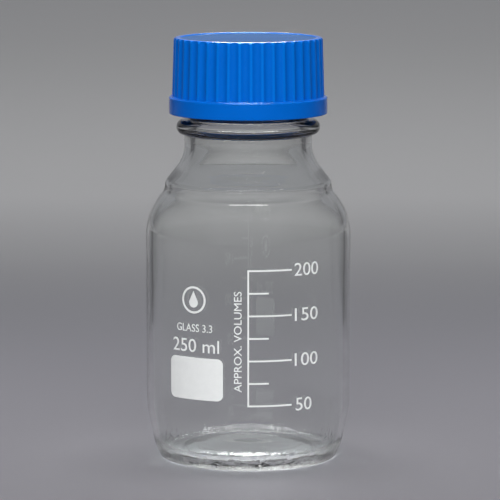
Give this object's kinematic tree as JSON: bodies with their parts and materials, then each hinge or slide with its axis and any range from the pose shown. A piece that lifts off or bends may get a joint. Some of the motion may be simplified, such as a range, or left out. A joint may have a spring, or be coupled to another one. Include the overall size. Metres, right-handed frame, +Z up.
{
  "type": "reagent bottle",
  "caption": "Clear round laboratory bottle with a printed volume scale, a pouring ring on its lip and a ribbed blue screw cap.",
  "frame": {"origin": "centre of the ring that the bottle stands on, at the level of the table", "axes": "+Z up along the bottle's axis, through the mouth; -Y towards the printed graduations"},
  "size_m": [0.07, 0.0701, 0.1442],
  "materials": {
    "borosilicate_glass": "fire-polished, clear",
    "blue_polypropylene": "injection moulded, satin",
    "white_enamel": "screen printed and fired"
  },
  "bodies": {
    "bottle": {"glass_bottle": "borosilicate_glass", "marking_panel": "white_enamel", "graduation_scale": "white_enamel", "graduation_numerals": "white_enamel", "capacity_print": "white_enamel", "scale_caption": "white_enamel", "glass_type_print": "white_enamel", "maker_mark": "white_enamel"},
    "ring": {"pouring_ring": "blue_polypropylene"},
    "cap": {"screw_cap": "blue_polypropylene"}
  },
  "joints": [
    {"name": "cap_turn", "type": "hinge", "parent": "bottle", "child": "ring", "pos_m": [0, 0, 0.1394], "axis": [0, 0, 1], "range_deg": [0, 2880]},
    {"name": "cap_lift", "type": "slide", "parent": "ring", "child": "cap", "axis": [0, 0, 1], "range_m": [0, 0.032]}
  ],
  "couplings": [
    {"joint": "cap_lift", "follows": "cap_turn", "m_per_rad": 0.00063661}
  ]
}
